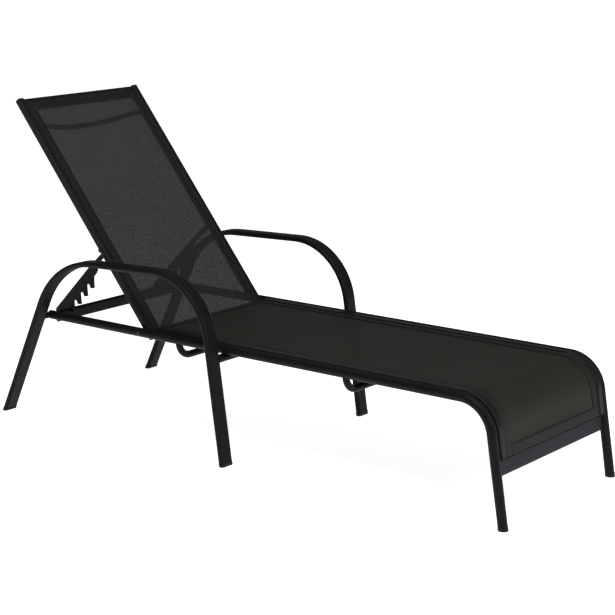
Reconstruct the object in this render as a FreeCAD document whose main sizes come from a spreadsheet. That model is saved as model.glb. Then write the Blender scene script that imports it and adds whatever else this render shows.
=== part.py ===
import FreeCAD, Part
import os
import Sketcher
from FreeCAD import Placement, Rotation, Vector

os.makedirs("parts", exist_ok=True)
doc = FreeCAD.newDocument("sun_lounger")

# Row frame: X along the lounger with the foot end at +X, Y across it, Z up, floor at Z 0.
# Millimetres and degrees.
SIZES = (
    ("frame_length", 1703.6, "outer ends of the rear and front feet"),
    ("floor_height", 0, "ground plane"),
    # Armrest loops, bent from flat-oval tube
    ("arm_spacing", 600, "between the middles of the two loops"),
    ("arm_width", 45, "flat-oval tube, across the lounger"),
    ("arm_depth", 15.5, "flat-oval tube, in the plane of the bend"),
    ("arm_wall", 1.5, "flat-oval tube wall"),
    ("arm_base", 844, "rear foot to middle foot"),
    ("arm_rear_height", 476.5, "rear corner before bending"),
    ("arm_front_height", 498.5, "front corner before bending"),
    ("arm_rear_lean", 25.6, "rear leg from upright"),
    ("arm_front_lean", 8.5, "middle leg from upright"),
    ("arm_rear_bend", 240, "bend radius over the rear leg"),
    ("arm_front_bend", 184, "bend radius over the middle leg"),
    # Seat frame, bent from round tube
    ("rail_spacing", 514, "between the seat rail axes"),
    ("rail_radius", 12.5, "seat rail tube, outside"),
    ("rail_wall", 1.5, "seat rail tube wall"),
    ("rail_slope", 0.35, "seat rises towards the foot end"),
    ("rail_bend", 92, "bend radius into the front leg"),
    ("front_lean", 9.4, "front leg from upright"),
    ("pivot_height", 301.2, "recline axis above the floor"),
    ("pivot_back", 338.4, "recline axis behind the frame's middle"),
    # Cross members
    ("stub_radius", 9, "stub between the rear leg and the seat rail"),
    ("cross_radius", 11, "middle cross tube"),
    ("cope_depth", 4, "tube ends past the inner edge of the armrest tube"),
    ("cross_wall", 1.5, "wall of stubs, cross tube and braces"),
    ("brace_radius", 9.5, "U-shaped seat braces"),
    ("brace_drop", 47, "brace axis below the rail axis"),
    ("brace_bend", 42, "brace bend radius"),
    ("rear_brace_ahead", 139, "rear brace in front of the recline axis"),
    ("front_brace_ahead", 705, "front brace in front of the recline axis"),
    ("crossbar_depth", 20, "foot crossbar, along the lounger"),
    ("crossbar_height", 40, "foot crossbar, upright"),
    ("crossbar_corner", 4, "foot crossbar corner radius"),
    ("crossbar_level", 143, "foot crossbar middle above the floor"),
    ("crossbar_setback", 9, "foot crossbar middle behind the leg axis"),
    ("bar_depth", 14.5, "ratchet bar, along the lounger"),
    ("bar_height", 33, "ratchet bar, upright"),
    ("bar_behind", 337, "ratchet bar behind the recline axis"),
    ("bar_level", 295.5, "ratchet bar middle above the floor"),
    # Sling rails with a keder groove, used on the seat and on the backrest
    ("sling_rail_width", 22, "across the lounger"),
    ("sling_rail_height", 18, "square to the cloth"),
    ("sling_rail_corner", 4, "corner radius"),
    ("sling_rail_wall", 1.4, "wall of the hollow chamber"),
    ("sling_rail_rise", 3.5, "rail middle towards the sitter from the pivot line"),
    ("chamber_height", 8, "hollow chamber under the keder groove"),
    ("groove_radius", 2.9, "keder groove"),
    ("groove_rise", 4.7, "groove axis towards the sitter from the rail's middle"),
    ("groove_inset", 4.5, "groove axis inboard of the rail's middle"),
    ("slit_width", 2.2, "slit from the groove out of the rail's inner face"),
    ("keder_radius", 2.6, "round keder rod in the cloth's hem"),
    ("cloth_thickness", 1.2, "woven sling"),
    ("cloth_gap", 0.4, "between the cloth's edge and the keder rod"),
    ("seat_rail_start", 33, "seat sling rail in front of the recline axis"),
    ("seat_rail_end_height", 168, "lower end of the seat sling rail"),
    # Backrest
    ("back_angle", 50.65, "backrest above the horizontal, as locked in the top notch"),
    ("back_length", 769, "recline axis to the top of the side rails"),
    ("back_tail", 23, "side rails past the recline axis"),
    ("back_gap", 3.5, "between a backrest rail and the seat rail"),
    ("top_tube_radius", 7, "tube across the top of the backrest"),
    ("top_tube_below", 3, "top tube axis from the rails' upper ends"),
    ("bow_radius", 7.5, "bowed spreader behind the cloth"),
    ("bow_below", 82, "top of the side rails to the bowed spreader"),
    ("bow_depth", 40, "spreader's middle behind its ends"),
    ("bow_flat", 140, "spreader's straight middle before bending"),
    ("bow_bend", 350, "spreader's bend radius"),
    ("back_cloth_start", -12, "recline axis to the cloth's lower hem, up the backrest"),
    ("back_cloth_below", 13, "top of the side rails to the cloth's top hem"),
    # End caps and feet
    ("foot_height", 9, "plastic foot under each tube end"),
    ("foot_lip", 0.75, "foot past the tube's outside"),
    ("plug_length", 18, "plug inside the tube"),
    ("plug_gap", 0.2, "around each plug"),
    ("cap_thickness", 4, "end cap of a sling rail"),
    # Recline pivots
    ("bolt_radius", 3, "pivot and ratchet bolts"),
    ("bolt_clearance", 0.08, "radial, where something turns on a bolt"),
    ("head_radius", 6.5, "bolt heads"),
    ("head_height", 4, "bolt heads"),
    ("nut_radius", 6.5, "across the corners of each nut"),
    ("nut_height", 6, "each nut"),
    ("washer_radius", 10, "nylon washer between the rails"),
    ("washer_thickness", 2.9, "nylon washer between the rails"),
    # Ratchet plates
    ("plate_thickness", 8, "each toothed plate"),
    ("plate_spacing", 406, "between the middles of the plates"),
    ("plate_along", 265.7, "recline axis to the plate's bolt"),
    ("plate_head", 7, "radius around the bolt"),
    ("plate_back", 12.6, "straight rear edge behind the bolt"),
    ("neck_front", 2.4, "front edge of the neck"),
    ("neck_taper", 100, "bolt to the full depth of the neck"),
    ("neck_end", 82, "bolt to the step that ends the neck"),
    ("notch_count", 4, "notches in each plate"),
    ("notch_pitch", 38.2, "between notches"),
    ("notch_width", 18.5, "each notch"),
    ("notch_line", 24.5, "round ends of the notches in front of the bolt"),
    ("notch_slant", 49.5, "notches from the plate's length"),
    ("notch_play", 0.5, "over the bar in the engaged notch"),
    ("notch_shift", 0.8, "bar in front of the engaged notch's middle"),
    ("tooth_reach", 8.1, "tooth tips past the notch line"),
    ("tail_length", 50, "plate past the last notch"),
)

sheet = doc.addObject("Spreadsheet::Sheet", "sheet")
for row, (alias, value, note) in enumerate(SIZES, start=1):
    sheet.set(f"A{row}", alias.replace("_", " "))
    sheet.set(f"B{row}", str(value))
    sheet.setAlias(f"B{row}", alias)
    sheet.set(f"C{row}", note)
doc.recompute()

SIDES = (("left", 1), ("right", -1))

# Places that several pieces share, as expressions over the sheet
PIVOT_X = "(-sheet.pivot_back)"
FOOT_X = "((sheet.arm_depth / 2 + sheet.foot_lip) / cos(sheet.arm_rear_lean))"
REAR_FOOT_X = f"(-sheet.frame_length / 2 + {FOOT_X})"
MIDDLE_FOOT_X = f"({REAR_FOOT_X} + sheet.arm_base)"
FRONT_CAP = "((sheet.rail_radius + sheet.foot_lip) / cos(sheet.front_lean))"
FRONT_FOOT_X = f"(sheet.frame_length / 2 - {FRONT_CAP})"
RAIL_Y = "(sheet.rail_spacing / 2)"
RAIL_INSIDE_Y = "(sheet.rail_spacing / 2 - sheet.rail_radius)"
SEAT_SLING_Y = f"({RAIL_INSIDE_Y} - sheet.sling_rail_width / 2)"
BACK_RAIL_Y = f"({RAIL_INSIDE_Y} - sheet.back_gap - sheet.sling_rail_width / 2)"
BAR_X = f"({PIVOT_X} - sheet.bar_behind)"
PLATE_Y = "(sheet.plate_spacing / 2)"
BACK_END = "(sheet.back_length + sheet.back_tail)"


def rear_leg_x(height):
    return f"({REAR_FOOT_X} + {height} * tan(sheet.arm_rear_lean))"


def middle_leg_x(height):
    return f"({MIDDLE_FOOT_X} - {height} * tan(sheet.arm_front_lean))"


def front_leg_x(height, ahead="0"):
    return f"({FRONT_FOOT_X} + {ahead} / cos(sheet.front_lean) - {height} * tan(sheet.front_lean))"


def rail_height(place, above="0"):
    run = f"({place} - {PIVOT_X}) * tan(sheet.rail_slope)"
    return f"(sheet.pivot_height + {run} + {above} / cos(sheet.rail_slope))"


def rail_corner_x(above="0"):
    level = rail_height("0", above)
    reach = f"({FRONT_FOOT_X} + {above} / cos(sheet.front_lean) - {level} * tan(sheet.front_lean))"
    return f"({reach} / (1 + tan(sheet.rail_slope) * tan(sheet.front_lean)))"


def number(expression):
    return float(getattr(sheet.evalExpression(expression), "Value", sheet.evalExpression(expression)))


def origin_plane(body, role):
    return next(feature for feature in body.Origin.OriginFeatures if feature.Role == role)


def make_body(label, place=("0", "0", "0"), turn="0"):
    """A body at a place given by expressions, turned about the Y axis."""
    body = doc.addObject("PartDesign::Body", label)
    body.Label = label
    body.Placement = Placement(Vector(0, 0, 0), Rotation(Vector(0, 1, 0), 1))
    for axis, expression in zip("xyz", place):
        body.setExpression(f"Placement.Base.{axis}", expression)
    body.setExpression("Placement.Rotation.Angle", turn)
    return body


def make_sketch(body, name, role, offset=("0", "0", "0"), turn="0", about=Vector(0, 1, 0)):
    sketch = body.newObject("Sketcher::SketchObject", name)
    sketch.AttachmentSupport = [(origin_plane(body, role), "")]
    sketch.MapMode = "FlatFace"
    sketch.AttachmentOffset = Placement(Vector(0, 0, 0), Rotation(about, 1))
    for axis, expression in zip("xyz", offset):
        sketch.setExpression(f"AttachmentOffset.Base.{axis}", expression)
    sketch.setExpression("AttachmentOffset.Rotation.Angle", turn)
    return sketch


def bind(sketch, kind, items, expression):
    """Adds a driving constraint whose value follows an expression."""
    index = sketch.addConstraint(Sketcher.Constraint(kind, *items, number(expression)))
    name = f"size_{index}"
    sketch.renameConstraint(index, name)
    sketch.setExpression(f"Constraints.{name}", expression)


def pin_point(sketch, geometry, position, place):
    bind(sketch, "DistanceX", (-1, 1, geometry, position), place[0])
    bind(sketch, "DistanceY", (-1, 1, geometry, position), place[1])


def draw_circle(sketch, radius, centre=("0", "0")):
    middle = Vector(number(centre[0]), number(centre[1]), 0)
    circle = sketch.addGeometry(Part.Circle(middle, Vector(0, 0, 1), number(radius)))
    pin_point(sketch, circle, 3, centre)
    bind(sketch, "Radius", (circle,), radius)


def draw_polygon(sketch, corners):
    """A closed outline whose every corner follows its two expressions."""
    points = [Vector(number(x), number(y), 0) for x, y in corners]
    lines = []
    for start, end in zip(points, points[1:] + points[:1]):
        lines.append(sketch.addGeometry(Part.LineSegment(start, end)))
    for line, after in zip(lines, lines[1:] + lines[:1]):
        sketch.addConstraint(Sketcher.Constraint("Coincident", line, 2, after, 1))
    for line, corner in zip(lines, corners):
        pin_point(sketch, line, 1, corner)


def draw_rounded(sketch, width, height, corner, centre=("0", "0")):
    """A rectangle with round corners: width along x, height along y."""
    half_x = number(width) / 2
    half_y = number(height) / 2
    radius = number(corner)
    cx, cy = number(centre[0]), number(centre[1])
    quarter = FreeCAD.Units.Quantity("90 deg").getValueAs("rad").Value
    signs = ((1, 1), (-1, 1), (-1, -1), (1, -1))
    arcs = []
    for turn, (sx, sy) in enumerate(signs):
        middle = Vector(cx + sx * (half_x - radius), cy + sy * (half_y - radius), 0)
        round_edge = Part.Circle(middle, Vector(0, 0, 1), radius)
        arcs.append(sketch.addGeometry(Part.ArcOfCircle(round_edge, turn * quarter, (turn + 1) * quarter)))
    for arc, (sx, sy) in zip(arcs, signs):
        x = f"({centre[0]} + {sx} * ({width} / 2 - {corner}))"
        y = f"({centre[1]} + {sy} * ({height} / 2 - {corner}))"
        pin_point(sketch, arc, 3, (x, y))
        bind(sketch, "Radius", (arc,), corner)
    for arc, after in zip(arcs, arcs[1:] + arcs[:1]):
        line = sketch.addGeometry(Part.LineSegment(sketch.getPoint(arc, 2), sketch.getPoint(after, 1)))
        sketch.addConstraint(Sketcher.Constraint("Tangent", arc, 2, line, 1))
        sketch.addConstraint(Sketcher.Constraint("Tangent", line, 2, after, 1))


def draw_oval(sketch, width, height):
    """A flat oval, longer along y, whose two ends are half circles."""
    radius = number(width) / 2
    rise = number(height) / 2 - radius
    half_turn = FreeCAD.Units.Quantity("180 deg").getValueAs("rad").Value
    top = Part.Circle(Vector(0, rise, 0), Vector(0, 0, 1), radius)
    base = Part.Circle(Vector(0, -rise, 0), Vector(0, 0, 1), radius)
    upper = sketch.addGeometry(Part.ArcOfCircle(top, 0, half_turn))
    lower = sketch.addGeometry(Part.ArcOfCircle(base, half_turn, 2 * half_turn))
    for arc, sign in ((upper, 1), (lower, -1)):
        pin_point(sketch, arc, 3, ("0", f"({sign} * ({height} - {width}) / 2)"))
        bind(sketch, "Radius", (arc,), f"({width} / 2)")
    for start, end in ((upper, lower), (lower, upper)):
        line = sketch.addGeometry(Part.LineSegment(sketch.getPoint(start, 2), sketch.getPoint(end, 1)))
        sketch.addConstraint(Sketcher.Constraint("Tangent", start, 2, line, 1))
        sketch.addConstraint(Sketcher.Constraint("Tangent", line, 2, end, 1))


def draw_path(sketch, corners, bends):
    """Straight runs between corners, joined by tangent arcs of the given bend radii."""
    points = [Vector(number(x), number(y), 0) for x, y in corners]
    starts = [points[0]]
    ends = []
    arcs = []
    for index, bend in enumerate(bends, start=1):
        before = (points[index - 1] - points[index]).normalize()
        after = (points[index + 1] - points[index]).normalize()
        half = before.getAngle(after) / 2
        middle = (before + after).normalize()
        radius = number(bend)
        sine = before.cross(middle).Length
        cosine = before.dot(middle)
        reach = radius * cosine / sine
        first = points[index] + before * reach
        last = points[index] + after * reach
        through = points[index] + middle * (radius / sine - radius)
        arcs.append(Part.Arc(first, through, last))
        ends.append(first)
        starts.append(last)
    ends.append(points[-1])
    lines = []
    for start, end in zip(starts, ends):
        lines.append(sketch.addGeometry(Part.LineSegment(start, end)))
    for index, (arc, bend) in enumerate(zip(arcs, bends)):
        curve = sketch.addGeometry(arc)
        corner = sketch.addGeometry(Part.Point(points[index + 1]), True)
        pin_point(sketch, corner, 1, corners[index + 1])
        sketch.addConstraint(Sketcher.Constraint("PointOnObject", corner, 1, lines[index]))
        sketch.addConstraint(Sketcher.Constraint("PointOnObject", corner, 1, lines[index + 1]))
        joins_start = (sketch.getPoint(curve, 1) - ends[index]).Length < 0.01
        near, far = (1, 2) if joins_start else (2, 1)
        sketch.addConstraint(Sketcher.Constraint("Tangent", lines[index], 2, curve, near))
        sketch.addConstraint(Sketcher.Constraint("Tangent", curve, far, lines[index + 1], 1))
        bind(sketch, "Radius", (curve,), bend)
    pin_point(sketch, lines[0], 1, corners[0])
    pin_point(sketch, lines[-1], 2, corners[-1])


def sweep(body, profile, path, kind="AdditivePipe"):
    feature = body.newObject(f"PartDesign::{kind}", "sweep")
    feature.Profile = (profile, [""])
    feature.Spine = (path, [""])
    profile.Visibility = False
    body.Tip = feature
    return feature


def pad(body, sketch, length, both_ways=False, backwards=False):
    feature = body.newObject("PartDesign::Pad", "pad")
    feature.Profile = (sketch, [""])
    feature.SideType = "Symmetric" if both_ways else "One side"
    feature.Reversed = backwards
    feature.setExpression("Length", length)
    body.Tip = feature
    return feature


def cut(label, base, tools):
    """Takes one or more tools out of a base; the result is the named sub-part."""
    tool = tools[0]
    if len(tools) > 1:
        tool = doc.addObject("Part::MultiFuse", f"{label}_tools")
        tool.Shapes = tools
    result = doc.addObject("Part::Cut", label)
    result.Base = base
    result.Tool = tool
    result.Label = label
    return result


nodes = []

# Armrest loops: one flat-oval tube on each side is the rear leg, the armrest and the middle leg.
ARM_CORNERS = (
    (rear_leg_x("sheet.foot_height"), "sheet.foot_height"),
    (rear_leg_x("sheet.arm_rear_height"), "sheet.arm_rear_height"),
    (middle_leg_x("sheet.arm_front_height"), "sheet.arm_front_height"),
    (middle_leg_x("sheet.foot_height"), "sheet.foot_height"),
)


def arm_pipe(label, side, wall):
    body = make_body(label, ("0", f"({side} * sheet.arm_spacing / 2)", "0"))
    path = make_sketch(body, "centre_line", "XZ_Plane")
    draw_path(path, ARM_CORNERS, ("sheet.arm_rear_bend", "sheet.arm_front_bend"))
    start = (ARM_CORNERS[0][0], "0", ARM_CORNERS[0][1])
    section = make_sketch(body, "section", "XY_Plane", start, "sheet.arm_rear_lean")
    draw_oval(section, f"(sheet.arm_depth - 2 * {wall})", f"(sheet.arm_width - 2 * {wall})")
    sweep(body, section, path)
    return body


arm_solids = []
for name, side in SIDES:
    solid = arm_pipe(f"arm_solid_{name}", side, "0")
    hollow = arm_pipe(f"arm_hollow_{name}", side, "sheet.arm_wall")
    arm_solids.append(solid)
    nodes.append(cut(f"arm_loop_{name}", solid, [hollow]))

# Seat rails: a round tube on each side runs under the seat and bends down into the front leg.
RAIL_START_X = rear_leg_x("sheet.pivot_height")
RAIL_CORNERS = (
    (RAIL_START_X, rail_height(RAIL_START_X)),
    (rail_corner_x(), rail_height(rail_corner_x())),
    (front_leg_x("sheet.foot_height"), "sheet.foot_height"),
)


def rail_pipe(label, side, wall):
    body = make_body(label, ("0", f"({side} * {RAIL_Y})", "0"))
    path = make_sketch(body, "centre_line", "XZ_Plane")
    draw_path(path, RAIL_CORNERS, ("sheet.rail_bend",))
    start = (RAIL_CORNERS[0][0], "0", RAIL_CORNERS[0][1])
    section = make_sketch(body, "section", "XY_Plane", start, "(90 - sheet.rail_slope)")
    draw_circle(section, f"(sheet.rail_radius - {wall})")
    sweep(body, section, path)
    return body


rail_solids = []
rail_hollows = []
for name, side in SIDES:
    solid = rail_pipe(f"rail_solid_{name}", side, "0")
    hollow = rail_pipe(f"rail_hollow_{name}", side, "sheet.rail_wall")
    rail_solids.append(solid)
    rail_hollows.append(hollow)

# Feet: plastic plugs in the six tube ends, each cut flat where it stands on the floor.
ground = doc.addObject("Part::Box", "ground")
ground.setExpression("Length", "2 * sheet.frame_length")
ground.setExpression("Width", "2 * sheet.arm_spacing")
ground.setExpression("Height", "sheet.arm_width * 2")
ground.setExpression("Placement.Base.x", "-sheet.frame_length")
ground.setExpression("Placement.Base.y", "-sheet.arm_spacing")
ground.setExpression("Placement.Base.z", "sheet.floor_height - sheet.arm_width * 2")


def foot(label, across, along, turn, draw_outside, draw_inside):
    """Built square to the leg: a shoe below the tube end and a plug inside it."""
    body = make_body(label, (along, across, "sheet.foot_height"), turn)
    shoe = make_sketch(body, "shoe", "XY_Plane")
    draw_outside(shoe)
    pad(body, shoe, "3 * sheet.foot_height", backwards=True)
    plug = make_sketch(body, "plug", "XY_Plane")
    draw_inside(plug)
    pad(body, plug, "sheet.plug_length")
    return body


def oval_shoe(sketch):
    draw_oval(sketch, "(sheet.arm_depth + 2 * sheet.foot_lip)", "(sheet.arm_width + 2 * sheet.foot_lip)")


def oval_plug(sketch):
    inside = "(2 * sheet.arm_wall + 2 * sheet.plug_gap)"
    draw_oval(sketch, f"(sheet.arm_depth - {inside})", f"(sheet.arm_width - {inside})")


def round_shoe(sketch):
    draw_circle(sketch, "(sheet.rail_radius + sheet.foot_lip)")


def round_plug(sketch):
    draw_circle(sketch, "(sheet.rail_radius - sheet.rail_wall - sheet.plug_gap)")


for name, side in SIDES:
    feet = (
        ("rear_foot", "arm_spacing", ARM_CORNERS[0][0], "sheet.arm_rear_lean", oval_shoe, oval_plug),
        ("middle_foot", "arm_spacing", ARM_CORNERS[3][0], "-sheet.arm_front_lean", oval_shoe, oval_plug),
        ("front_foot", "rail_spacing", RAIL_CORNERS[2][0], "-sheet.front_lean", round_shoe, round_plug),
    )
    for kind, spacing, along, turn, outside, inside in feet:
        across = f"({side} * sheet.{spacing} / 2)"
        raw = foot(f"{kind}_raw_{name}", across, along, turn, outside, inside)
        nodes.append(cut(f"{kind}_{name}", raw, [ground]))


def round_across(label, radius, length, place, middle="0"):
    """A round bar that lies across the lounger, centred on a place."""
    body = make_body(label, (place[0], middle, place[1]))
    section = make_sketch(body, "section", "XZ_Plane")
    draw_circle(section, radius)
    pad(body, section, length, both_ways=True)
    return body


# Stubs: a short tube joins each rear leg to the rear end of the seat rail.
STUB_LEVEL = rail_height(RAIL_START_X)
stub_solids = []
for (name, side), arm in zip(SIDES, arm_solids):
    outer_end = "(sheet.arm_spacing / 2 - sheet.arm_width / 2 + sheet.cope_depth)"
    span = f"({outer_end} - {RAIL_INSIDE_Y})"
    middle = f"({side} * ({outer_end} + {RAIL_INSIDE_Y}) / 2)"
    place = (rear_leg_x("sheet.pivot_height"), STUB_LEVEL)
    solid = round_across(f"stub_solid_{name}", "sheet.stub_radius", span, place, middle)
    bore = round_across(f"stub_bore_{name}", "(sheet.stub_radius - sheet.cross_wall)", span, place, middle)
    stub_solids.append(solid)
    nodes.append(cut(f"rear_stub_{name}", solid, [bore, arm]))

# Middle cross tube: joins the middle legs and carries both seat rails.
cross_drop = "(sheet.rail_radius + sheet.cross_radius)"
CROSS_X = middle_leg_x("(sheet.pivot_height - sheet.rail_radius)")
CROSS_PLACE = (CROSS_X, f"({rail_height(CROSS_X)} - {cross_drop})")
CROSS_SPAN = "(sheet.arm_spacing - sheet.arm_width + 2 * sheet.cope_depth)"
cross_solid = round_across("cross_solid", "sheet.cross_radius", CROSS_SPAN, CROSS_PLACE)
cross_bore = round_across("cross_bore", "(sheet.cross_radius - sheet.cross_wall)", CROSS_SPAN, CROSS_PLACE)
nodes.append(cut("middle_cross_tube", cross_solid, [cross_bore] + arm_solids))


# Seat braces: two U-shaped tubes hang under the rails, low enough to clear a loaded sling.
def brace_pipe(label, ahead, wall):
    place = f"({PIVOT_X} + {ahead})"
    rail = rail_height(place)
    low = f"({rail} - sheet.brace_drop)"
    body = make_body(label, (place, "0", "0"))
    path = make_sketch(body, "centre_line", "YZ_Plane")
    corners = ((f"(-{RAIL_Y})", rail), (f"(-{RAIL_Y})", low), (RAIL_Y, low), (RAIL_Y, rail))
    draw_path(path, corners, ("sheet.brace_bend", "sheet.brace_bend"))
    section = make_sketch(body, "section", "XY_Plane", ("0", f"(-{RAIL_Y})", rail))
    draw_circle(section, f"(sheet.brace_radius - {wall})")
    sweep(body, section, path)
    return body


for name in ("rear", "front"):
    ahead = f"sheet.{name}_brace_ahead"
    solid = brace_pipe(f"{name}_brace_solid", ahead, "0")
    hollow = brace_pipe(f"{name}_brace_hollow", ahead, "sheet.cross_wall")
    nodes.append(cut(f"{name}_brace", solid, [hollow] + rail_solids))


# Foot crossbar: a rectangular tube between the front legs, leaning with them.
def crossbar_body(label, wall):
    setback = "(-sheet.crossbar_setback)"
    place = (front_leg_x("sheet.crossbar_level", setback), "0", "sheet.crossbar_level")
    body = make_body(label, place, "-sheet.front_lean")
    section = make_sketch(body, "section", "XZ_Plane")
    depth = f"(sheet.crossbar_depth - 2 * {wall})"
    height = f"(sheet.crossbar_height - 2 * {wall})"
    draw_rounded(section, depth, height, f"(sheet.crossbar_corner - {wall})")
    pad(body, section, "(sheet.rail_spacing - sheet.rail_radius)", both_ways=True)
    return body


crossbar_solid = crossbar_body("crossbar_solid", "0")
crossbar_hollow = crossbar_body("crossbar_hollow", "sheet.cross_wall")
nodes.append(cut("foot_crossbar", crossbar_solid, [crossbar_hollow] + rail_solids))


# Ratchet bar: a flat-oval tube on edge between the seat rails, which the notched plates hook over.
def bar_body(label, wall):
    body = make_body(label, (BAR_X, "0", "sheet.bar_level"))
    section = make_sketch(body, "section", "XZ_Plane")
    draw_oval(section, f"(sheet.bar_depth - 2 * {wall})", f"(sheet.bar_height - 2 * {wall})")
    pad(body, section, "(sheet.rail_spacing - sheet.rail_radius)", both_ways=True)
    return body


bar_solid = bar_body("bar_solid", "0")
bar_hollow = bar_body("bar_hollow", "sheet.cross_wall")
nodes.append(cut("ratchet_bar", bar_solid, [bar_hollow] + rail_solids))

# Paths of the sling rails. Along the seat the path follows the round rail and its front leg.
SEAT_START_X = f"({PIVOT_X} + sheet.seat_rail_start)"
SEAT_RISE = "sheet.sling_rail_rise"
SEAT_BEND = "(sheet.rail_bend + sheet.sling_rail_rise)"
SEAT_CORNERS = (
    (SEAT_START_X, rail_height(SEAT_START_X, SEAT_RISE)),
    (rail_corner_x(SEAT_RISE), rail_height(rail_corner_x(SEAT_RISE), SEAT_RISE)),
    (front_leg_x("sheet.seat_rail_end_height", SEAT_RISE), "sheet.seat_rail_end_height"),
)
SEAT_PATH = (("0", "0", "0"), "0", SEAT_CORNERS, (SEAT_BEND,), "(90 - sheet.rail_slope)")
BACK_PLACE = (PIVOT_X, "0", "sheet.pivot_height")


def back_path(start, end):
    """A straight run along the backrest, from its upper end to its lower end."""
    corners = ((f"(-{start})", "sheet.sling_rail_rise"), (end, "sheet.sling_rail_rise"))
    return (BACK_PLACE, "sheet.back_angle", corners, (), "90")


def along_sling(label, course, across, draw_section):
    """Sweeps a section along a sling path; its x points away from the cloth, its y across."""
    place, turn, corners, bends, facing = course
    body = make_body(label, (place[0], across, place[2]), turn)
    path = make_sketch(body, "centre_line", "XZ_Plane")
    draw_path(path, corners, bends)
    section = make_sketch(body, "section", "XY_Plane", (corners[0][0], "0", corners[0][1]), facing)
    draw_section(section)
    sweep(body, section, path)
    return body


GROOVE_X = "(-sheet.groove_rise)"
CHAMBER_X = "(sheet.sling_rail_height / 2 - sheet.sling_rail_wall - sheet.chamber_height / 2)"


def rail_outside(sketch):
    draw_rounded(sketch, "sheet.sling_rail_height", "sheet.sling_rail_width", "sheet.sling_rail_corner")


def rail_chamber(sketch):
    width = "(sheet.sling_rail_width - 2 * sheet.sling_rail_wall)"
    corner = "(sheet.sling_rail_corner - sheet.sling_rail_wall)"
    draw_rounded(sketch, "sheet.chamber_height", width, corner, (CHAMBER_X, "0"))


def groove_section(radius, side):
    """A circle on the groove's axis, which is inboard of the rail's middle."""
    return lambda sketch: draw_circle(sketch, radius, (GROOVE_X, f"(-{side} * sheet.groove_inset)"))


def slit_section(side):
    def draw(sketch):
        low = f"({GROOVE_X} - sheet.slit_width / 2)"
        high = f"({GROOVE_X} + sheet.slit_width / 2)"
        inner = f"(-{side} * sheet.groove_inset)"
        outer = f"(-{side} * sheet.sling_rail_width)"
        draw_polygon(sketch, ((low, inner), (high, inner), (high, outer), (low, outer)))

    return draw


def sling_rail(label, course, side, across, holes=()):
    """A hollow rail with a keder groove that opens at its inner face."""
    place = f"({side} * {across})"
    solid = along_sling(f"{label}_solid", course, place, rail_outside)
    sections = (
        ("chamber", rail_chamber),
        ("groove", groove_section("sheet.groove_radius", side)),
        ("slit", slit_section(side)),
    )
    tools = list(holes)
    for part, draw in sections:
        tools.append(along_sling(f"{label}_{part}", course, place, draw))
    return cut(label, solid, tools)


def keder(label, course, side, across):
    draw = groove_section("sheet.keder_radius", side)
    return along_sling(label, course, f"({side} * {across})", draw)


def sling(label, course, across):
    """Flat cloth whose edges stop in the slits, just short of the keder rods."""
    near = f"({GROOVE_X} + sheet.cloth_thickness / 2)"
    far = f"({GROOVE_X} - sheet.cloth_thickness / 2)"
    half = f"({across} - sheet.groove_inset - sheet.keder_radius - sheet.cloth_gap)"

    def section(sketch):
        draw_polygon(sketch, ((near, f"(-{half})"), (near, half), (far, half), (far, f"(-{half})")))

    return along_sling(label, course, "0", section)


# Seat: a grooved rail inside each round rail, a keder rod in each groove and the sling between.
for name, side in SIDES:
    nodes.append(sling_rail(f"seat_sling_rail_{name}", SEAT_PATH, side, SEAT_SLING_Y))
    nodes.append(keder(f"seat_keder_{name}", SEAT_PATH, side, SEAT_SLING_Y))
nodes.append(sling("seat_sling", SEAT_PATH, SEAT_SLING_Y))

# Recline pivots: a bolt through the seat rail and the backrest rail, a nylon washer and a nut.
PIVOT_PLACE = (PIVOT_X, "sheet.pivot_height")
BACK_INSIDE_Y = f"({BACK_RAIL_Y} - sheet.sling_rail_width / 2)"
RAIL_OUTSIDE_Y = f"({RAIL_Y} + sheet.rail_radius)"


def turned(label, place, side, profile, turn="0"):
    """A turned piece on an axis across the lounger; the profile gives radius and Y distance."""
    body = make_body(label, (place[0], "0", place[1]), turn)
    sketch = make_sketch(body, "profile", "XY_Plane")
    draw_polygon(sketch, [(radius, f"({side} * {across})") for radius, across in profile])
    feature = body.newObject("PartDesign::Revolution", "turned")
    feature.Profile = (sketch, [""])
    feature.ReferenceAxis = (sketch, ["V_Axis"])
    feature.Angle = 360
    body.Tip = feature
    return body


def bolt(label, place, side, outside, inside):
    """A domed bolt: its head bears on the outside and its shank ends past the inside."""
    head = f"({outside} + sheet.head_height)"
    profile = (
        ("0", inside),
        ("sheet.bolt_radius", inside),
        ("sheet.bolt_radius", outside),
        ("sheet.head_radius", outside),
        ("sheet.head_radius", f"({outside} + sheet.head_height * 0.4)"),
        ("(sheet.head_radius * 0.6)", head),
        ("0", head),
    )
    return turned(label, place, side, profile)


def nut(label, place, side, outside):
    """A domed lock nut whose outer face bears at the given distance."""
    inner = f"({outside} - sheet.nut_height)"
    body = make_body(label, (place[0], f"({side} * ({outside} + {inner}) / 2)", place[1]))
    sketch = make_sketch(body, "hexagon", "XZ_Plane")
    angles = ("0", "60", "120", "180", "240", "300")
    corners = [(f"(sheet.nut_radius * cos({a}))", f"(sheet.nut_radius * sin({a}))") for a in angles]
    draw_polygon(sketch, corners)
    draw_circle(sketch, "sheet.bolt_radius")
    pad(body, sketch, "sheet.nut_height", both_ways=True)
    return body


def hole(label, radius, place):
    return round_across(label, radius, "(2 * sheet.arm_spacing)", place)


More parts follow.
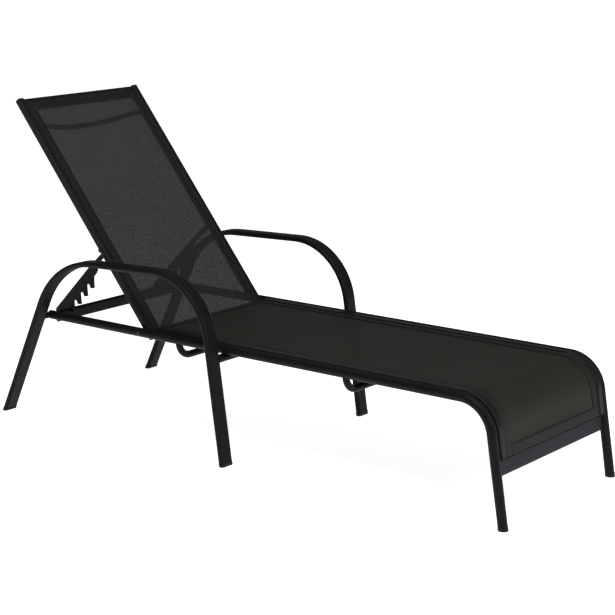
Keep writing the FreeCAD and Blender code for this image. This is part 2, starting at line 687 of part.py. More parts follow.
pivot_hole = hole("pivot_hole", "sheet.bolt_radius", PIVOT_PLACE)
pivot_running_hole = hole("pivot_running_hole", "(sheet.bolt_radius + sheet.bolt_clearance)", PIVOT_PLACE)
for index, (name, side) in enumerate(SIDES):
    tools = [rail_hollows[index], stub_solids[index], pivot_hole]
    nodes.append(cut(f"seat_rail_{name}", rail_solids[index], tools))
    shank_end = f"({BACK_INSIDE_Y} - sheet.nut_height - 2)"
    nodes.append(bolt(f"pivot_bolt_{name}", PIVOT_PLACE, side, RAIL_OUTSIDE_Y, shank_end))
    nodes.append(nut(f"pivot_nut_{name}", PIVOT_PLACE, side, f"({BACK_INSIDE_Y} - 0.3)"))
    washer_in = f"({RAIL_INSIDE_Y} - sheet.back_gap / 2 - sheet.washer_thickness / 2)"
    washer_out = f"({RAIL_INSIDE_Y} - sheet.back_gap / 2 + sheet.washer_thickness / 2)"
    ring = (
        ("(sheet.bolt_radius + sheet.bolt_clearance)", washer_in),
        ("sheet.washer_radius", washer_in),
        ("sheet.washer_radius", washer_out),
        ("(sheet.bolt_radius + sheet.bolt_clearance)", washer_out),
    )
    nodes.append(turned(f"pivot_washer_{name}", PIVOT_PLACE, side, ring))


# Backrest, built in its locked position. Along it, distance s runs up from the recline axis.
def back_point(along, rise):
    """Row-frame place of a point on the backrest: s up along it and a rise towards the sitter."""
    x = f"({PIVOT_X} - {along} * cos(sheet.back_angle) + {rise} * sin(sheet.back_angle))"
    z = f"(sheet.pivot_height + {along} * sin(sheet.back_angle) + {rise} * cos(sheet.back_angle))"
    return (x, z)


PLATE_PLACE = back_point("sheet.plate_along", "0")
plate_hole = hole("plate_hole", "sheet.bolt_radius", PLATE_PLACE)
BACK_COURSE = back_path("sheet.back_length", "sheet.back_tail")
CLOTH_COURSE = back_path("(sheet.back_length - sheet.back_cloth_below)", "(-sheet.back_cloth_start)")
TOP_CAP = back_path("(sheet.back_length + sheet.cap_thickness)", "(-sheet.back_length)")
LOWER_CAP = back_path("(-sheet.back_tail)", "(sheet.back_tail + sheet.cap_thickness)")
for name, side in SIDES:
    holes = (pivot_running_hole, plate_hole)
    nodes.append(sling_rail(f"back_rail_{name}", BACK_COURSE, side, BACK_RAIL_Y, holes))
    nodes.append(keder(f"back_keder_{name}", CLOTH_COURSE, side, BACK_RAIL_Y))
    across = f"({side} * {BACK_RAIL_Y})"
    nodes.append(along_sling(f"back_top_cap_{name}", TOP_CAP, across, rail_outside))
    nodes.append(along_sling(f"back_lower_cap_{name}", LOWER_CAP, across, rail_outside))
nodes.append(sling("back_sling", CLOTH_COURSE, BACK_RAIL_Y))

# Top tube: holds the upper ends of the side rails apart.
TOP_PLACE = back_point("(sheet.back_length - sheet.top_tube_below)", "sheet.sling_rail_rise")
TOP_SPAN = f"(2 * {BACK_INSIDE_Y})"
top_solid = round_across("top_solid", "sheet.top_tube_radius", TOP_SPAN, TOP_PLACE)
top_bore = round_across("top_bore", "(sheet.top_tube_radius - sheet.cross_wall)", TOP_SPAN, TOP_PLACE)
nodes.append(cut("back_top_tube", top_solid, [top_bore]))


# Bowed spreader: bends away behind the cloth between the side rails.
def bow_pipe(label, wall):
    place = back_point("(sheet.back_length - sheet.bow_below)", "0")
    body = make_body(label, (place[0], "0", place[1]), "sheet.back_angle")
    path = make_sketch(body, "centre_line", "YZ_Plane")
    flat = "(sheet.bow_flat / 2)"
    low = "(-sheet.bow_depth)"
    corners = ((f"(-{BACK_INSIDE_Y})", "0"), (f"(-{flat})", low), (flat, low), (BACK_INSIDE_Y, "0"))
    draw_path(path, corners, ("sheet.bow_bend", "sheet.bow_bend"))
    start = ("0", f"(-{BACK_INSIDE_Y})", "0")
    lean = f"(90 deg + atan(sheet.bow_depth / ({BACK_INSIDE_Y} - {flat})))"
    section = make_sketch(body, "section", "XY_Plane", start, f"(-{lean})", Vector(1, 0, 0))
    draw_circle(section, f"(sheet.bow_radius - {wall})")
    sweep(body, section, path)
    return body


bow_solid = bow_pipe("bow_solid", "0")
bow_hollow = bow_pipe("bow_hollow", "sheet.cross_wall")
nodes.append(cut("back_bow", bow_solid, [bow_hollow]))

# Ratchet: a toothed plate hangs from a bolt in each backrest rail and hooks over the ratchet bar.
BAR_SEAT = "(sheet.bar_level + sheet.bar_height / 2 - sheet.notch_width / 2 + sheet.notch_play)"
SEAT_DX = f"({PLATE_PLACE[0]} - {BAR_X} + sheet.notch_shift)"
SEAT_DZ = f"({PLATE_PLACE[1]} - {BAR_SEAT})"
SEAT_RUN = f"sqrt({SEAT_DX}^2 + {SEAT_DZ}^2 - sheet.notch_line^2)"
PLATE_ANGLE = f"(atan2({SEAT_DZ}; {SEAT_DX}) - atan2(sheet.notch_line; {SEAT_RUN}))"
PLATE_TURN = f"(-{PLATE_ANGLE})"
PLATE_INSIDE_Y = f"({PLATE_Y} - sheet.plate_thickness / 2)"
PLATE_OUTSIDE_Y = f"({PLATE_Y} + sheet.plate_thickness / 2)"


def plate_point(along, front):
    """Sketch corner of a point on a plate: distance from its bolt, and in front of it."""
    return (f"(-({along}))", f"(-({front}))")


def notch_place(number_from_bar):
    return f"({SEAT_RUN} - {number_from_bar} * sheet.notch_pitch)"


def plate_outline():
    """Neck, step, the tips of the teeth and the tail."""
    slant_s = "cos(sheet.notch_slant)"
    slant_n = "sin(sheet.notch_slant)"
    tooth_width = f"(sheet.notch_pitch * {slant_n} - sheet.notch_width)"
    tips = []
    for index in range(int(number("sheet.notch_count"))):
        wall = f"({notch_place(index)} - sheet.notch_width / 2 / {slant_n})"
        rear_s = f"({wall} + sheet.tooth_reach * {slant_s} / {slant_n})"
        rear_n = "(sheet.notch_line + sheet.tooth_reach)"
        tips.append(plate_point(rear_s, rear_n))
        front_s = f"({rear_s} - {tooth_width} * {slant_n})"
        tips.append(plate_point(front_s, f"({rear_n} + {tooth_width} * {slant_s})"))
    last = notch_place(0)
    first = notch_place("(sheet.notch_count - 1)")
    tail = f"({last} + sheet.tail_length)"
    corners = [
        plate_point("0", "-sheet.plate_head"),
        plate_point("sheet.neck_taper", "-sheet.plate_back"),
        plate_point(f"({tail} - 12)", "-sheet.plate_back"),
        plate_point(tail, "-sheet.plate_back + 12"),
        plate_point(tail, "sheet.notch_line - 4"),
        plate_point(f"({tail} - 5)", "sheet.notch_line + 2"),
        plate_point(f"({last} + sheet.notch_width)", "sheet.notch_line + sheet.tooth_reach"),
    ]
    corners += tips
    corners += [
        plate_point(f"({first} - 36)", "sheet.notch_line - 8.5"),
        plate_point("sheet.neck_end + 15", "sheet.notch_line - 9"),
        plate_point("sheet.neck_end + 4", "sheet.notch_line - 12"),
        plate_point("sheet.neck_end", "sheet.neck_front"),
        plate_point("sheet.neck_end / 2", "sheet.neck_front"),
        plate_point("0", "sheet.plate_head"),
    ]
    return corners


def ratchet_plate(label, side):
    body = make_body(label, (PLATE_PLACE[0], f"({side} * {PLATE_Y})", PLATE_PLACE[1]), PLATE_TURN)
    outline = make_sketch(body, "outline", "XZ_Plane")
    draw_polygon(outline, plate_outline())
    pad(body, outline, "sheet.plate_thickness", both_ways=True)
    head = make_sketch(body, "head", "XZ_Plane")
    draw_circle(head, "sheet.plate_head")
    pad(body, head, "sheet.plate_thickness", both_ways=True)
    bore = make_sketch(body, "bore", "XZ_Plane")
    draw_circle(bore, "(sheet.bolt_radius + sheet.bolt_clearance)")
    drilled = body.newObject("PartDesign::Pocket", "drilled")
    drilled.Profile = (bore, [""])
    drilled.SideType = "Symmetric"
    drilled.setExpression("Length", "3 * sheet.plate_thickness")
    body.Tip = drilled
    notch = make_sketch(body, "notch", "XZ_Plane", plate_point(notch_place(0), "0") + ("0",))
    half = "(sheet.notch_width / 2)"
    draw_notch(notch, half)
    notched = body.newObject("PartDesign::Pocket", "notched")
    notched.Profile = (notch, [""])
    notched.SideType = "Symmetric"
    notched.setExpression("Length", "3 * sheet.plate_thickness")
    body.Tip = notched
    row = body.newObject("PartDesign::LinearPattern", "notch_row")
    row.Originals = [notched]
    row.Direction = (notch, ["H_Axis"])
    row.setExpression("Length", "sheet.notch_pitch * (sheet.notch_count - 1)")
    row.setExpression("Occurrences", "sheet.notch_count")
    body.Tip = row
    return body


def draw_notch(sketch, half):
    """A round-ended notch that leaves the plate along the slanted teeth."""
    slant_x = "(-cos(sheet.notch_slant))"
    slant_y = "(-sin(sheet.notch_slant))"
    floor_y = "(-sheet.notch_line)"
    run = "(3 * sheet.tooth_reach)"

    def corner(sign, along):
        x = f"({sign} * {half} * {slant_y} + {along} * {slant_x})"
        y = f"({floor_y} - {sign} * {half} * {slant_x} + {along} * {slant_y})"
        return (x, y)

    corners = (corner(1, "0"), corner(1, run), corner(-1, run), corner(-1, "0"))
    points = [Vector(number(x), number(y), 0) for x, y in corners]
    middle = (points[0] + points[3]) * 0.5
    out = (points[0] - points[1]).normalize() * number(half)
    arc = sketch.addGeometry(Part.Arc(points[3], middle + out, points[0]))
    lines = [sketch.addGeometry(Part.LineSegment(a, b)) for a, b in zip(points, points[1:])]
    begins_last = (sketch.getPoint(arc, 1) - points[3]).Length < number(half)
    last_end, first_end = (1, 2) if begins_last else (2, 1)
    pin_point(sketch, arc, 3, ("0", floor_y))
    bind(sketch, "Radius", (arc,), half)
    sketch.addConstraint(Sketcher.Constraint("Tangent", arc, first_end, lines[0], 1))
    sketch.addConstraint(Sketcher.Constraint("Coincident", lines[0], 2, lines[1], 1))
    sketch.addConstraint(Sketcher.Constraint("Coincident", lines[1], 2, lines[2], 1))
    sketch.addConstraint(Sketcher.Constraint("Tangent", lines[2], 2, arc, last_end))
    pin_point(sketch, lines[1], 1, corners[1])
    pin_point(sketch, lines[1], 2, corners[2])


for name, side in SIDES:
    nodes.append(ratchet_plate(f"ratchet_plate_{name}", side))
    rail_face = f"({BACK_RAIL_Y} + sheet.sling_rail_width / 2)"
    shank_end = f"({PLATE_INSIDE_Y} - sheet.nut_height - 2)"
    nodes.append(bolt(f"ratchet_bolt_{name}", PLATE_PLACE, side, rail_face, shank_end))
    nodes.append(nut(f"ratchet_nut_{name}", PLATE_PLACE, side, f"({PLATE_INSIDE_Y} - 0.4)"))
    spacer = (
        ("sheet.bolt_radius", f"({PLATE_OUTSIDE_Y} + 0.4)"),
        ("(sheet.bolt_radius + 3.5)", f"({PLATE_OUTSIDE_Y} + 0.4)"),
        ("(sheet.bolt_radius + 3.5)", BACK_INSIDE_Y),
        ("sheet.bolt_radius", BACK_INSIDE_Y),
    )
    nodes.append(turned(f"ratchet_spacer_{name}", PLATE_PLACE, side, spacer))

doc.recompute()
for item in doc.Objects:
    if "Invalid" in item.State or "Error" in item.State:
        raise RuntimeError(f"{item.Name} ({item.Label}) did not build")
for node in nodes:
    if node.Shape.isNull() or not node.Shape.isValid():
        raise RuntimeError(f"{node.Label} has no valid shape")
for node in nodes:
    node.Shape.exportStep(f"parts/{node.Label}.step")
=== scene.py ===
import math

import bmesh
import bpy
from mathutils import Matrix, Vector


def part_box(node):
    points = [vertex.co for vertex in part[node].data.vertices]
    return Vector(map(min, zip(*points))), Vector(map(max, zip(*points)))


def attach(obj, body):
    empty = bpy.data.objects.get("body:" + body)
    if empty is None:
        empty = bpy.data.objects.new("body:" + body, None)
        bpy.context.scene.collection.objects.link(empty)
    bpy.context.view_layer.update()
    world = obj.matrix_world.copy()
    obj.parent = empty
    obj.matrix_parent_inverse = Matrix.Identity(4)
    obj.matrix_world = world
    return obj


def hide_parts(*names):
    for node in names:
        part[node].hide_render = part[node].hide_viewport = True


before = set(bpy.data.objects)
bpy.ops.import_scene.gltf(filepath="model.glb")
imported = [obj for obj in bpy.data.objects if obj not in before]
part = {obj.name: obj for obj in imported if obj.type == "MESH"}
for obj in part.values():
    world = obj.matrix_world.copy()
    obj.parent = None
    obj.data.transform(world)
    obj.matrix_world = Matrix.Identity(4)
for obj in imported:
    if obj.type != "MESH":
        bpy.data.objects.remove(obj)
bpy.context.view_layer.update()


# Armrest loops. Each is one length of flat-oval steel tube, bent twice on a wide former so that it is the rear
# leg, the armrest and the middle leg in turn, then blasted and powder coated in satin charcoal.
class Signal:
    """A value that runs along a wire between shader nodes; sums written with it add their own nodes."""

    def __init__(self, bench, socket):
        self.bench = bench
        self.socket = socket

    def combine(self, operation, first, second=0.0):
        return self.bench.node("ShaderNodeMath", {"operation": operation}, {0: first, 1: second})

    def __add__(self, other):
        return self.combine("ADD", self, other)

    __radd__ = __add__

    def __sub__(self, other):
        return self.combine("SUBTRACT", self, other)

    def __rsub__(self, other):
        return self.combine("SUBTRACT", other, self)

    def __mul__(self, other):
        return self.combine("MULTIPLY", self, other)

    __rmul__ = __mul__

    def above(self, level, softness):
        """0 below the level, rising to 1 over the softness."""
        return self.bench.node(
            "ShaderNodeMapRange",
            {"clamp": True},
            {"Value": self, "From Min": level, "From Max": level + softness},
        )

    def wave(self, pitch):
        """A sine from -1 to 1 that repeats at the pitch."""
        return self.combine("SINE", self * (2 * math.pi / pitch))


class Bench:
    """One finish being made up: a Principled shader, and the nodes that vary it."""

    def __init__(self, name, **constants):
        self.material = bpy.data.materials.new(name)
        self.material.use_nodes = True
        self.tree = self.material.node_tree
        self.tree.nodes.clear()
        self.shader = self.tree.nodes.new("ShaderNodeBsdfPrincipled")
        end = self.tree.nodes.new("ShaderNodeOutputMaterial")
        self.tree.links.new(self.shader.outputs[0], end.inputs[0])
        for socket, value in constants.items():
            self.shader.inputs[socket.replace("_", " ")].default_value = value

    def node(self, kind, settings=None, sockets=None, give=0):
        made = self.tree.nodes.new(kind)
        for key, value in (settings or {}).items():
            setattr(made, key, value)
        for key, value in (sockets or {}).items():
            self.wire(made.inputs[key], value)
        return Signal(self, made.outputs[give])

    def wire(self, socket, value):
        if isinstance(value, Signal):
            self.tree.links.new(value.socket, socket)
        else:
            socket.default_value = value

    def feed(self, **signals):
        for socket, value in signals.items():
            self.wire(self.shader.inputs[socket.replace("_", " ")], value)

    def place(self):
        """Where a point is on the lounger at rest, in metres."""
        return self.node("ShaderNodeTexCoord", give=3)

    def cloud(self, size, detail=2.0, stretch=(1, 1, 1), where=None):
        """Soft noise from 0 to 1 with lumps of the size, in metres."""
        scaled = self.node(
            "ShaderNodeVectorMath",
            {"operation": "MULTIPLY"},
            {0: where or self.place(), 1: stretch},
        )
        return self.node("ShaderNodeTexNoise", None, {"Vector": scaled, "Scale": 1 / size, "Detail": detail})

    def tint(self, amount, dark, light):
        """A colour between two, by the amount."""
        return self.node(
            "ShaderNodeMix",
            {"data_type": "RGBA"},
            {0: amount, 6: (*dark, 1), 7: (*light, 1)},
            give=2,
        )

    def relief(self, height, depth, strength=1.0):
        """Bumps of a depth in metres where the height goes from 0 to 1."""
        return self.node("ShaderNodeBump", None, {"Strength": strength, "Distance": depth, "Height": height})


def powder_coat(name, dark, light, roughness):
    """Satin powder: a fine orange peel, faint clouding, and a film of dust on what faces up."""
    bench = Bench(name, Specular_IOR_Level=0.07)
    peel = bench.cloud(0.0012, 2.0)
    grain = bench.cloud(0.0004, 1.0)
    clouding = bench.cloud(0.09, 3.0)
    facing = bench.node("ShaderNodeNewGeometry", give=1)
    upward = bench.node("ShaderNodeSeparateXYZ", None, {0: facing}, give=2).above(0.55, 0.45)
    dust = upward * bench.cloud(0.03, 4.0).above(0.42, 0.3)
    edges = bench.node("ShaderNodeNewGeometry", give=7).above(0.53, 0.06)
    worn = edges * bench.cloud(0.006, 3.0).above(0.5, 0.2)
    amount = clouding * 0.6 + grain * 0.25 + dust * 0.3 + worn * 0.5
    bench.feed(
        Base_Color=bench.tint(amount, dark, light),
        Roughness=clouding * 0.10 + grain * 0.08 + dust * 0.12 + (roughness - 0.09),
        Normal=bench.relief(peel * 0.8 + grain * 0.2, 0.00006, 0.55),
    )
    return bench.material


def finish(names, material):
    for name in names:
        mesh = part[name].data
        mesh.materials.clear()
        mesh.materials.append(material)


charcoal = powder_coat("charcoal_powder_coat", (0.0022, 0.0023, 0.0025), (0.0085, 0.0087, 0.0093), 0.44)
finish(("arm_loop_left", "arm_loop_right"), charcoal)

# Seat frame. Round steel tube runs under each side of the seat and bends down into the front leg. Short stubs
# weld it to the rear legs, and a plain tube between the middle legs carries it; all coated with the loops.
finish(("seat_rail_left", "seat_rail_right", "rear_stub_left", "rear_stub_right", "middle_cross_tube"), charcoal)

# Braces. Two round tubes bent to a shallow U hang between the seat rails, deep enough to miss a loaded sling.
finish(("rear_brace", "front_brace"), charcoal)

# Foot crossbar. A rectangular steel tube welded between the front legs. Its powder coat is a shade bluer and
# paler than the coat on the bent tubes.
blue_charcoal = powder_coat("blue_charcoal_powder_coat", (0.010, 0.0104, 0.0138), (0.016, 0.0165, 0.0215), 0.48)
finish(("foot_crossbar",), blue_charcoal)

# Ratchet. A flat-oval bar stands on edge between the seat rails, and a notched steel plate hangs from each side
# of the backrest and hooks over it. Both are powder coated a little darker than the rest of the frame.
dark_charcoal = powder_coat("ratchet_powder_coat", (0.0025, 0.0025, 0.0027), (0.0085, 0.0085, 0.009), 0.46)
finish(("ratchet_bar", "ratchet_plate_left", "ratchet_plate_right"), dark_charcoal)

# Feet and end caps. Black polyethylene plugs pushed into the tube ends, with a fine spark-eroded grain and
# a paler scuff where the feet stand on the ground.
moulded = Bench("moulded_black_plastic", Specular_IOR_Level=0.12)
pitting = moulded.cloud(0.0006, 2.0)
height = moulded.node("ShaderNodeSeparateXYZ", None, {0: moulded.place()}, give=2)
scuff = (1 - height.above(0.0, 0.006)) * moulded.cloud(0.004, 3.0).above(0.45, 0.2)
moulded.feed(
    Base_Color=moulded.tint(scuff * 0.7 + pitting * 0.3, (0.0015, 0.0015, 0.0017), (0.020, 0.0192, 0.018)),
    Roughness=pitting * 0.14 + scuff * 0.2 + 0.30,
    Normal=moulded.relief(pitting, 0.0001, 0.6),
)
sides = ("left", "right")
finish([f"{leg}_foot_{side}" for leg in ("rear", "middle", "front") for side in sides], moulded.material)
finish([f"back_{end}_cap_{side}" for end in ("top", "lower") for side in sides], moulded.material)

# Sling rails. Hollow aluminium extrusions with a keder groove, two beside the seat and two that are the sides
# of the backrest. They are coated like the tubes, and show faint lines left by the extrusion die.
drawn = Bench("coated_extrusion", Specular_IOR_Level=0.10)
across = drawn.node("ShaderNodeSeparateXYZ", None, {0: drawn.place()}, give=1)
fine_die_pitch = 0.0011
broad_die_pitch = 0.0037
die_lines = across.wave(fine_die_pitch) * across.wave(broad_die_pitch)
film = drawn.cloud(0.0012, 2.0)
blotch = drawn.cloud(0.07, 3.0)
drawn.feed(
    Base_Color=drawn.tint(
        blotch * 0.6 + film * 0.2 + die_lines * 0.1,
        (0.0035, 0.0036, 0.0039),
        (0.0105, 0.0107, 0.0113),
    ),
    Roughness=blotch * 0.10 + film * 0.06 + 0.31,
    Normal=drawn.relief(film * 0.7 + die_lines * 0.15, 0.00006, 0.5),
)
finish([f"{where}_rail_{side}" for where in ("seat_sling", "back") for side in sides], drawn.material)

# Backrest spreaders. A round tube closes the top, and a bowed one behind the cloth keeps the sides apart
# without touching whoever leans back.
finish(("back_top_tube", "back_bow"), charcoal)

# Fasteners. Blackened, lightly oiled steel bolts and nuts, with black nylon washers and spacers between the
# parts that turn on them. The keder rods in the sling's side hems are the same black plastic.
blackened = Bench("blackened_steel", Metallic=0.35, Specular_IOR_Level=0.3)
tooling = blackened.cloud(0.0009, 3.0)
oil = blackened.cloud(0.004, 2.0)
blackened.feed(
    Base_Color=blackened.tint(tooling, (0.004, 0.004, 0.0045), (0.020, 0.0195, 0.019)),
    Roughness=oil * 0.22 + 0.30,
    Normal=blackened.relief(tooling, 0.00005, 0.5),
)
metal_kinds = ("pivot_bolt", "pivot_nut", "ratchet_bolt", "ratchet_nut")
nylon_kinds = ("pivot_washer", "ratchet_spacer", "seat_keder", "back_keder")
finish([f"{kind}_{side}" for kind in metal_kinds for side in sides], blackened.material)
nylon = Bench("black_nylon", Specular_IOR_Level=0.2)
flow = nylon.cloud(0.002, 3.0)
nylon.feed(
    Base_Color=nylon.tint(flow, (0.003, 0.003, 0.0035), (0.010, 0.010, 0.0105)),
    Roughness=flow * 0.2 + 0.4,
    Normal=nylon.relief(flow, 0.00004, 0.5),
)
finish([f"{kind}_{side}" for kind in nylon_kinds for side in sides], nylon.material)


# Seat sling. Vinyl-coated polyester mesh, woven from round yarns, cut in one length and pulled tight between
# the sling rails by a keder rod in each side hem. It bends over the foot end with the rails.
def woven_mesh(name, dark, light, openness):
    """Coated yarns over and under, paler every third one, with pinholes where four meet."""
    bench = Bench(name, Specular_IOR_Level=0.12)
    chart = bench.node("ShaderNodeUVMap", {"uv_map": "cloth"})
    length = bench.node("ShaderNodeSeparateXYZ", None, {0: chart}, give=0)
    width = bench.node("ShaderNodeSeparateXYZ", None, {0: chart}, give=1)
    yarn_pitch = 0.0030
    warp = width.wave(yarn_pitch)
    weft = length.wave(yarn_pitch)
    crossing = warp * weft
    ribs = width.wave(3 * yarn_pitch) * 0.5 + 0.5
    slub = bench.cloud(0.0022, 2.0, (0.045, 1.0, 1.0), chart)
    handling = bench.cloud(0.16, 3.0)
    amount = slub * 0.60 + ribs * 0.80 + crossing * 0.16 + handling * 0.22 - 0.42
    pinhole = (warp * warp * weft * weft).above(0.62, 0.10)
    bench.feed(
        Base_Color=bench.tint(amount, dark, light),
        Roughness=slub * 0.12 + handling * 0.1 + 0.50,
        Alpha=1 - pinhole * openness,
        Normal=bench.relief(crossing * 0.5 + 0.5, 0.00030, 0.7),
    )
    return bench.material


def walk(places):
    """How far along a line of (x, z) places each one is."""
    gone = [0.0]
    for (x0, z0), (x1, z1) in zip(places, places[1:]):
        gone.append(gone[-1] + math.hypot(x1 - x0, z1 - z0))
    return gone


def faces_up(places):
    """The unit direction square to the line at each place, on the sitter's side."""
    directions = []
    for index in range(len(places)):
        x0, z0 = places[max(index - 1, 0)]
        x1, z1 = places[min(index + 1, len(places) - 1)]
        run = math.hypot(x1 - x0, z1 - z0)
        directions.append((-(z1 - z0) / run, (x1 - x0) / run))
    return directions


def lay_cloth(name, places, low_y, high_y, steps, raised, thickness, material, dip=0.0):
    """A woven strip along the places, between two distances across; with no thickness it is one open layer."""
    mesh = bpy.data.meshes.new(name)
    work = bmesh.new()
    chart = work.loops.layers.uv.new("cloth")
    gone = walk(places)
    ups = faces_up(places)
    end_ease = 0.05
    rows = []
    for (x, z), (ux, uz), run in zip(places, ups, gone):
        row = []
        for step in range(steps + 1):
            y = low_y + (high_y - low_y) * step / steps
            ease = min(1.0, run / end_ease, (gone[-1] - run) / end_ease)
            lift = raised - dip * math.sin(math.pi * step / steps) ** 2 * ease
            row.append((work.verts.new((x + ux * lift, y, z + uz * lift)), run, y))
        rows.append(row)
    for row, after in zip(rows, rows[1:]):
        for step in range(steps):
            corners = (row[step], after[step], after[step + 1], row[step + 1])
            face = work.faces.new([vert for vert, run, y in corners])
            face.smooth = True
            for loop, (vert, run, y) in zip(face.loops, corners):
                loop[chart].uv = (run, y)
    work.normal_update()
    work.to_mesh(mesh)
    work.free()
    mesh.materials.append(material)
    cloth = bpy.data.objects.new(name, mesh)
    bpy.context.scene.collection.objects.link(cloth)
    if thickness:
        fold = cloth.modifiers.new("fold", "SOLIDIFY")
        fold.thickness = thickness
        fold.offset = 0
    return cloth


seat_low, seat_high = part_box("seat_sling")
rail_climb = math.radians(0.35)
leg_lean = math.radians(9.4)
rail_bend, rail_rise, groove_rise = 0.092, 0.0035, 0.0047
bend = rail_bend + rail_rise + groove_rise
half_cloth = 0.0006
cloth_dip = 0.003
cloth_steps = 60
centre_z = seat_high.z - half_cloth - bend
hem_x = seat_high.x - half_cloth
up_leg = (centre_z - seat_low.z + bend * math.sin(leg_lean)) / math.cos(leg_lean)
centre_x = hem_x - up_leg * math.sin(leg_lean) - bend * math.cos(leg_lean)
seat_line = []
first_x = centre_x - bend * math.sin(rail_climb)
first_z = centre_z + bend * math.cos(rail_climb)
rear_reach = 0.010
rear_x = seat_low.x - rear_reach
flat_steps, bend_steps, drop_steps = 70, 40, 8
for step in range(1, flat_steps):
    x = rear_x + (first_x - rear_x) * step / flat_steps
    seat_line.append((x, first_z - (first_x - x) * math.tan(rail_climb)))
turn = math.pi / 2 - leg_lean + rail_climb
for step in range(bend_steps):
    angle = math.pi / 2 + rail_climb - turn * step / bend_steps
    seat_line.append((centre_x + bend * math.cos(angle), centre_z + bend * math.sin(angle)))
lower_x = centre_x + bend * math.cos(leg_lean)
lower_z = centre_z + bend * math.sin(leg_lean)
for step in range(drop_steps + 1):
    portion = step / drop_steps
    seat_line.append((lower_x + (hem_x - lower_x) * portion, lower_z + (seat_low.z - lower_z) * portion))

seat_colours = ((0.0045, 0.0042, 0.0034), (0.0225, 0.0212, 0.0168))
seat_weave = woven_mesh("seat_mesh", *seat_colours, 0.01)
seat_half = seat_high.y
seat_cloth = lay_cloth("seat_cloth", seat_line, -seat_half, seat_half, cloth_steps, 0, 0, seat_weave, cloth_dip)
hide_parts("seat_sling")
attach(seat_cloth, "frame")


# Seat hems. Each edge of the seat sling is folded over and sewn down: a broad hem with two rows of stitches
# beside each rail, which holds the keder rod, and a plain hem across each end.
def trimmed(places, start, length):
    """The part of a line from a distance along it, for a length."""
    gone = walk(places)
    return [place for place, run in zip(places, gone) if start - 1e-6 <= run <= start + length + 1e-6]


def divided(places, pitch):
    """The same line with its long runs cut shorter."""
    finer = []
    for (x0, z0), (x1, z1) in zip(places, places[1:]):
        cuts = max(1, math.ceil(math.hypot(x1 - x0, z1 - z0) / pitch))
        for step in range(cuts):
            portion = step / cuts
            finer.append((x0 + (x1 - x0) * portion, z0 + (z1 - z0) * portion))
    return finer + [places[-1]]


def sew(name, seams, material):
    """Rows of raised lockstitches; each seam is a list of places with the direction out of the cloth."""
    pitch = 0.0042
    half_width = 0.00045
    half_height = 0.00035
    shape = ((-0.0017, 0.15), (-0.0011, 0.85), (0, 1.0), (0.0011, 0.85), (0.0017, 0.15))
    mesh = bpy.data.meshes.new(name)
    work = bmesh.new()
    for seam in seams:
        points = [Vector(point) for point, out in seam]
        outs = [Vector(out) for point, out in seam]
        spans = [(b - a).length for a, b in zip(points, points[1:])]
        total = sum(spans)
        for index in range(int(total / pitch)):
            target = (index + 0.5) * pitch
            span = 0
            while span < len(spans) - 1 and target > spans[span]:
                target -= spans[span]
                span += 1
            ahead = (points[span + 1] - points[span]).normalized()
            out = outs[span]
            beside = ahead.cross(out).normalized()
            middle = points[span] + ahead * target
            ends = []
            for reach, girth in shape:
                ring = []
                for turn in range(6):
                    angle = turn * math.pi / 3
                    offset = beside * math.cos(angle) * half_width + out * math.sin(angle) * half_height
                    ring.append(work.verts.new(middle + ahead * reach + offset * girth))
                ends.append(ring)
            for ring, after in zip(ends, ends[1:]):
                for turn in range(6):
                    again = (turn + 1) % 6
                    face = work.faces.new((ring[turn], after[turn], after[again], ring[again]))
                    face.smooth = True
            work.faces.new(ends[0])
            work.faces.new(ends[-1][::-1])
    work.normal_update()
    work.to_mesh(mesh)
    work.free()
    mesh.materials.append(material)
    stitching = bpy.data.objects.new(name, mesh)
    bpy.context.scene.collection.objects.link(stitching)
    return stitching


thread = Bench("bonded_thread", Specular_IOR_Level=0.3)
twist = thread.cloud(0.0006, 1.0)
thread.feed(
    Base_Color=thread.tint(twist, (0.007, 0.007, 0.007), (0.022, 0.0215, 0.021)),
    Roughness=twist * 0.2 + 0.5,
    Normal=thread.relief(twist, 0.0001, 0.5),
)


def hem_and_seams(prefix, line, half, inner_face, body, tones, first_hem, last_hem):
    """Hems along the sides and across the ends of one sling, with their stitching."""
    doubled = woven_mesh(f"{prefix}_hem_mesh", *tones, 0.1)
    fine = divided(line, 0.004)
    total = walk(fine)[-1]
    side_hem, fold, seam_inset = 0.025, 0.0009, 0.003
    keder_seam = 0.009
    in_groove = 0.0006
    above = 0.0005 + fold * 0.5
    on_top = above + fold * 0.5
    strips = []
    for side, sign in (("left", 1), ("right", -1)):
        outer, inner = sign * (half - in_groove), sign * (inner_face - side_hem)
        low_y, high_y = min(outer, inner), max(outer, inner)
        strips.append(lay_cloth(f"{prefix}_side_hem_{side}", fine, low_y, high_y, 4, above, fold, doubled))
    reach = inner_face - side_hem
    for end, start, width in (("first", 0.0, first_hem), ("last", total - last_hem, last_hem)):
        span = trimmed(fine, start, width)
        strips.append(lay_cloth(f"{prefix}_{end}_hem", span, -reach, reach, 40, above, fold, doubled))
    seams = []
    gone = walk(fine)
    for across_y in (inner_face - keder_seam, inner_face - side_hem + seam_inset):
        for sign in (1, -1):
            seam = []
            for (x, z), (ux, uz) in zip(fine, faces_up(fine)):
                seam.append(((x + ux * on_top, sign * across_y, z + uz * on_top), (ux, 0, uz)))
            seams.append(seam)
    for target in (first_hem - seam_inset, total - last_hem + seam_inset):
        index = min(range(len(fine)), key=lambda i: abs(gone[i] - target))
        (x, z), (ux, uz) = fine[index], faces_up(fine)[index]
        seams.append([((x + ux * on_top, y, z + uz * on_top), (ux, 0, uz)) for y in (-reach, 0, reach)])
    stitches = sew(f"{prefix}_stitching", seams, thread.material)
    for piece in strips + [stitches]:
        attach(piece, body)
    return strips + [stitches]


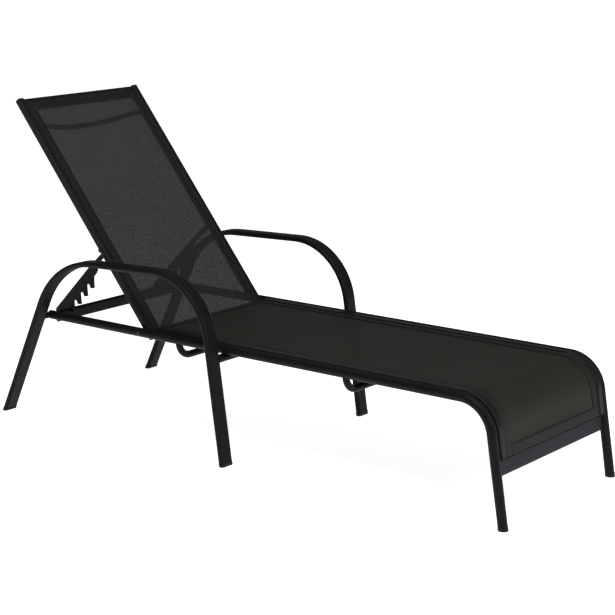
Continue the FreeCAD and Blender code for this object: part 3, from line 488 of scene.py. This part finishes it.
seat_rail_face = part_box("seat_sling_rail_left")[0].y
seat_hem_colours = ((0.0045, 0.0043, 0.0037), (0.0190, 0.0182, 0.0155))
rolled_hem, broad_hem = 0.010, 0.026
seat_trim = hem_and_seams(
    "seat", seat_line, seat_half, seat_rail_face, "frame", seat_hem_colours, rolled_hem, broad_hem
)
seat_cut = (2 * seat_half, walk(seat_line)[-1])

# Back sling. The same mesh in a shorter length, stretched between the backrest's side rails. It ends just
# under the top tube and, at the bottom, just behind the rear edge of the seat.
back_low, back_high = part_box("back_sling")
back_angle = math.atan2(back_high.z - back_low.z, back_high.x - back_low.x)
top_place = (back_low.x + half_cloth * math.sin(back_angle), back_high.z - half_cloth * math.cos(back_angle))
low_place = (back_high.x - half_cloth * math.sin(back_angle), back_low.z + half_cloth * math.cos(back_angle))
back_line = []
for step in range(cloth_steps + 1):
    portion = step / cloth_steps
    back_line.append((
        top_place[0] + (low_place[0] - top_place[0]) * portion,
        top_place[1] + (low_place[1] - top_place[1]) * portion,
    ))
back_colours = ((0.0040, 0.0040, 0.0040), (0.0230, 0.0230, 0.0228))
back_weave = woven_mesh("back_mesh", *back_colours, 0.15)
back_half = back_high.y
back_cloth = lay_cloth("back_cloth", back_line, -back_half, back_half, cloth_steps, 0, 0, back_weave, cloth_dip)
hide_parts("back_sling")
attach(back_cloth, "backrest")

# Back hems. The mesh is folded and sewn as on the seat, with the broad hem under the top tube and a narrow
# rolled one across the lower end.
back_rail_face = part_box("back_rail_left")[0].y
back_hem_colours = ((0.0035, 0.0035, 0.0035), (0.0140, 0.0140, 0.0139))
back_trim = hem_and_seams(
    "back", back_line, back_half, back_rail_face, "backrest", back_hem_colours, broad_hem, rolled_hem
)
back_cut = (2 * back_half, walk(back_line)[-1])

# Studio. A broad pale floor in an even pale room, a large soft light above the seat and a weaker one beyond
# the foot end.
paper = Bench("studio_floor", Roughness=0.9, Specular_IOR_Level=0.1, Emission_Strength=0.90)
paper.feed(
    Base_Color=paper.tint(paper.cloud(0.5, 2.0), (0.86, 0.86, 0.86), (0.88, 0.88, 0.88)),
    Emission_Color=(1, 1, 1, 1),
)
bpy.ops.mesh.primitive_plane_add(size=120, location=(0, 0, -0.0005))
floor = bpy.context.object
floor.name = "studio_floor"
floor.data.materials.append(paper.material)

room = bpy.data.worlds.new("pale_room")
room.use_nodes = True
room.node_tree.nodes["Background"].inputs[0].default_value = (1, 1, 1, 1)
room.node_tree.nodes["Background"].inputs[1].default_value = 0.22
bpy.context.scene.world = room


def soft_light(name, place, aim, power, width):
    lamp = bpy.data.lights.new(name, "AREA")
    lamp.shape = "DISK"
    lamp.size = width
    lamp.energy = power
    holder = bpy.data.objects.new(name, lamp)
    holder.location = place
    holder.rotation_euler = (Vector(aim) - Vector(place)).to_track_quat("-Z", "Y").to_euler()
    bpy.context.scene.collection.objects.link(holder)


soft_light("key_light", (1.2, -1.6, 3.6), (0.0, 0.0, 0.3), 110, 1.8)
soft_light("foot_light", (3.8, 0.4, 2.0), (0.2, 0.0, 0.3), 60, 1.4)

lens = bpy.data.cameras.new("camera")
lens.sensor_width = 36
lens.lens = 103.07
lens.clip_start = 0.1
lens.clip_end = 300
camera = bpy.data.objects.new("camera", lens)
camera.location = (2.94079, -3.63076, 1.4741)
camera.rotation_euler = (math.radians(90 - 13.252), math.radians(0.016), math.radians(38.635))
bpy.context.scene.collection.objects.link(camera)
bpy.context.scene.camera = camera
bpy.context.scene.view_settings.view_transform = "Standard"
